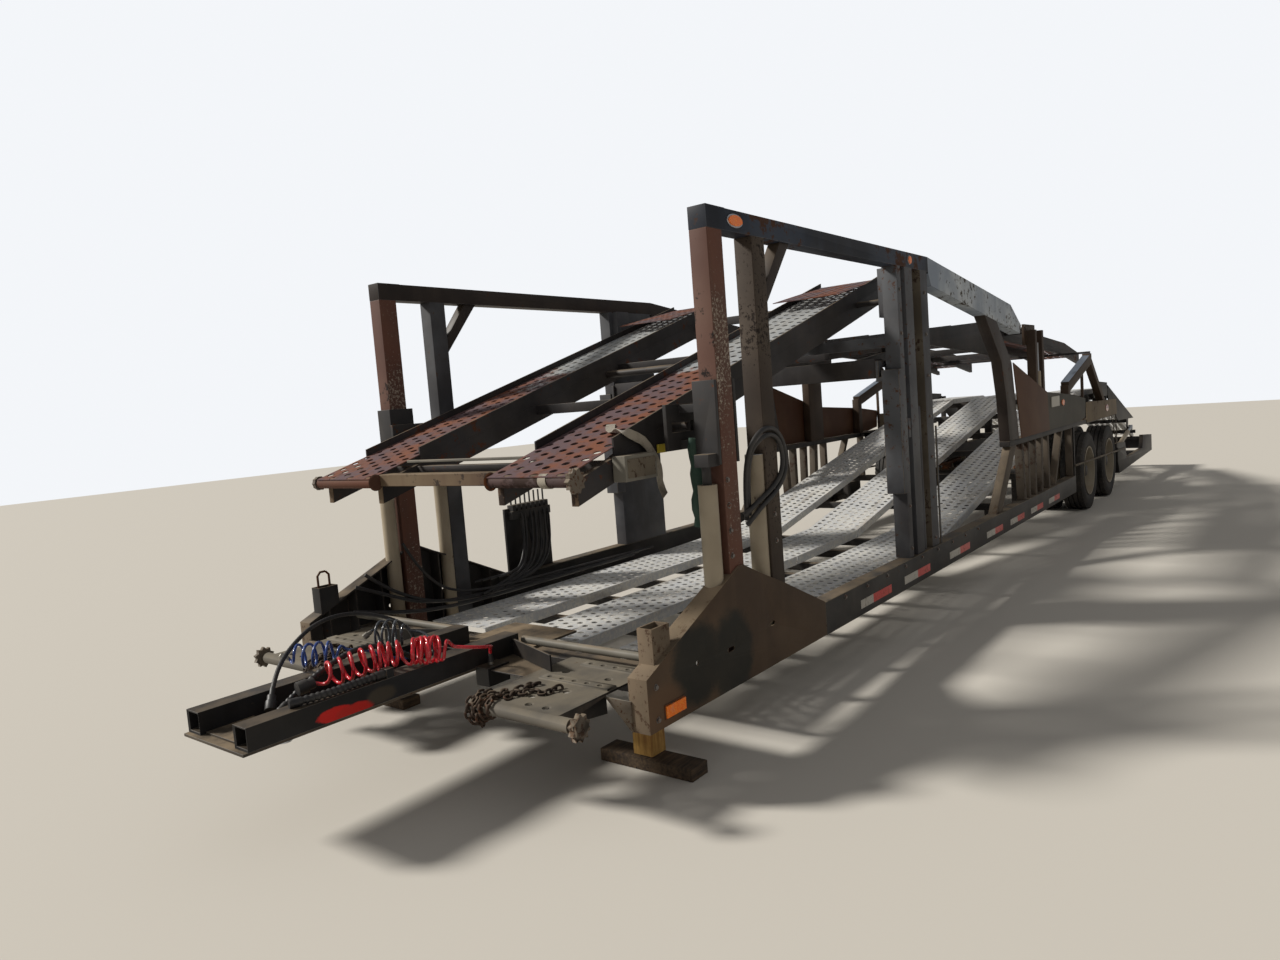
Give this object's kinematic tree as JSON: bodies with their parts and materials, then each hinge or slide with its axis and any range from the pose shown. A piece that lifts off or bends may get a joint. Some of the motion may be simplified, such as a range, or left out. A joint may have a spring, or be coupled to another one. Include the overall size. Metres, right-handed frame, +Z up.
{
  "type": "car transporter semi-trailer",
  "caption": "Open semi-trailer with a stinger tongue, perforated tracks and tilting upper decks between side rails, for carrying cars on two levels.",
  "frame": {"origin": "on the ground, under the centre of the bounding box", "axes": "+X forward to the tongue's nose, +Y to the trailer's left, +Z up"},
  "size_m": [14.864, 2.615, 2.558],
  "materials": {
    "frame_dark": "faded black paint, dusty",
    "bare_steel": "worn bright, greasy",
    "gusset_brown": "faded dark brown paint with dull round patches",
    "post_brown": "faded red-brown paint, peeling",
    "rail_blue": "faded blue-grey paint, dusty",
    "side_brown": "faded brown paint, dusty",
    "fender_beige": "dusty beige paint",
    "silver_arm": "silver paint, weathered",
    "galvanised": "weathered zinc coating",
    "track_rusty": "rusty, paint mostly gone",
    "deck_frame_rusty": "rusty dark paint",
    "cylinder_beige": "beige paint, dusty",
    "chrome_rod": "polished rod",
    "tyre_black": "dusty worn rubber",
    "rim_beige": "dusty beige paint",
    "timber": "weathered sawn timber",
    "lamp_amber": "amber lens",
    "hose_black": "dusty black rubber",
    "hose_red": "red nylon air line",
    "hose_blue": "blue nylon air line"
  },
  "bodies": {
    "chassis": {"tongue": "frame_dark", "kingpin": "bare_steel", "aprons": "frame_dark", "gussets": "gusset_brown", "sills": "frame_dark", "front_posts": "post_brown", "mid_posts": "post_brown", "top_rails": "rail_blue", "rail_braces": "post_brown", "side_beams": "frame_dark", "side_struts": "frame_dark", "body_sides": "side_brown", "fender_panels": "fender_beige", "masts": "post_brown", "rear_arms": "silver_arm", "flat_tracks": "galvanised", "ramp_tracks": "galvanised", "crossmembers": "frame_dark", "chassis_beams": "frame_dark", "axles": "frame_dark", "tail_frame": "frame_dark", "crest_skirts": "galvanised", "front_cylinders": "cylinder_beige", "timber_props": "timber", "valve_bank": "frame_dark", "side_lamps": "lamp_amber", "springs": "frame_dark", "bank_hoses": "hose_black", "loop_plug": "hose_black", "red_coupling": "hose_black", "red_coil": "hose_red", "red_lead": "hose_red", "blue_coil": "hose_blue", "blue_lead": "hose_blue", "black_coil": "hose_black", "black_lead": "hose_black", "loop_cable": "hose_black", "front_hose": "hose_black", "rail_hose": "hose_black"},
    "front_deck": {"front_deck_tracks": "track_rusty", "front_deck_frame": "deck_frame_rusty"},
    "front_carriage": {"front_carriers": "post_brown"},
    "mid_deck": {"mid_deck_tracks": "track_rusty", "mid_deck_frame": "deck_frame_rusty"},
    "mid_carriage": {"mid_carriers": "frame_dark"},
    "rear_deck": {"rear_deck_tracks": "galvanised", "rear_deck_frame": "deck_frame_rusty"},
    "tail_deck": {"tail_tracks": "galvanised", "tail_deck_frame": "galvanised"},
    "tail_barrel": {"tail_barrels": "cylinder_beige"},
    "tail_rod": {"tail_rods": "chrome_rod"},
    "wheel_front_left": {"tyres_front_left": "tyre_black", "rims_front_left": "rim_beige"},
    "wheel_front_right": {"tyres_front_right": "tyre_black", "rims_front_right": "rim_beige"},
    "wheel_rear_left": {"tyres_rear_left": "tyre_black", "rims_rear_left": "rim_beige"},
    "wheel_rear_right": {"tyres_rear_right": "tyre_black", "rims_rear_right": "rim_beige"}
  },
  "joints": [
    {"name": "wheel_front_left_spin", "type": "hinge", "parent": "chassis", "child": "wheel_front_left", "pos_m": [-2.613, 0, 0.4645], "axis": [0, 1, 0], "continuous": true},
    {"name": "wheel_front_right_spin", "type": "hinge", "parent": "chassis", "child": "wheel_front_right", "pos_m": [-2.613, 0, 0.4645], "axis": [0, 1, 0], "continuous": true},
    {"name": "wheel_rear_left_spin", "type": "hinge", "parent": "chassis", "child": "wheel_rear_left", "pos_m": [-3.875, 0, 0.4645], "axis": [0, 1, 0], "continuous": true},
    {"name": "wheel_rear_right_spin", "type": "hinge", "parent": "chassis", "child": "wheel_rear_right", "pos_m": [-3.875, 0, 0.4645], "axis": [0, 1, 0], "continuous": true},
    {"name": "front_deck_tilt", "type": "hinge", "parent": "chassis", "child": "front_deck", "pos_m": [3.188, 0, 2.24], "axis": [0, 1, 0], "range_deg": [-16.33, 0]},
    {"name": "front_carriage_lift", "type": "slide", "parent": "chassis", "child": "front_carriage", "axis": [0, 0, 1], "range_m": [0, 0.68]},
    {"name": "mid_deck_tilt", "type": "hinge", "parent": "chassis", "child": "mid_deck", "pos_m": [-0.202, 0, 2.12], "axis": [0, 1, 0], "range_deg": [0, 6.88]},
    {"name": "mid_carriage_lift", "type": "slide", "parent": "chassis", "child": "mid_carriage", "axis": [0, 0, 1], "range_m": [-0.42, 0]},
    {"name": "rear_deck_tilt", "type": "hinge", "parent": "chassis", "child": "rear_deck", "pos_m": [-0.402, 0, 2.1], "axis": [0, 1, 0], "range_deg": [0, 8.59]},
    {"name": "tail_deck_tilt", "type": "hinge", "parent": "chassis", "child": "tail_deck", "pos_m": [-4.617, 0, 1.4113], "axis": [0, 1, 0], "range_deg": [0, 16.04]},
    {"name": "tail_barrel_swing", "type": "hinge", "parent": "chassis", "child": "tail_barrel", "pos_m": [-4.932, 0, 0.54], "axis": [0, 1, 0], "range_deg": [0, 17]},
    {"name": "tail_rod_slide", "type": "slide", "parent": "tail_barrel", "child": "tail_rod", "axis": [-0.9837, 0, 0.1796], "range_m": [0, 0.262]}
  ],
  "couplings": [
    {"joint": "front_carriage_lift", "follows": "front_deck_tilt", "m_per_rad": -2.37},
    {"joint": "mid_carriage_lift", "follows": "mid_deck_tilt", "m_per_rad": -3.49},
    {"joint": "tail_barrel_swing", "follows": "tail_deck_tilt", "ratio": 1.04},
    {"joint": "tail_rod_slide", "follows": "tail_deck_tilt", "m_per_rad": 0.923}
  ]
}
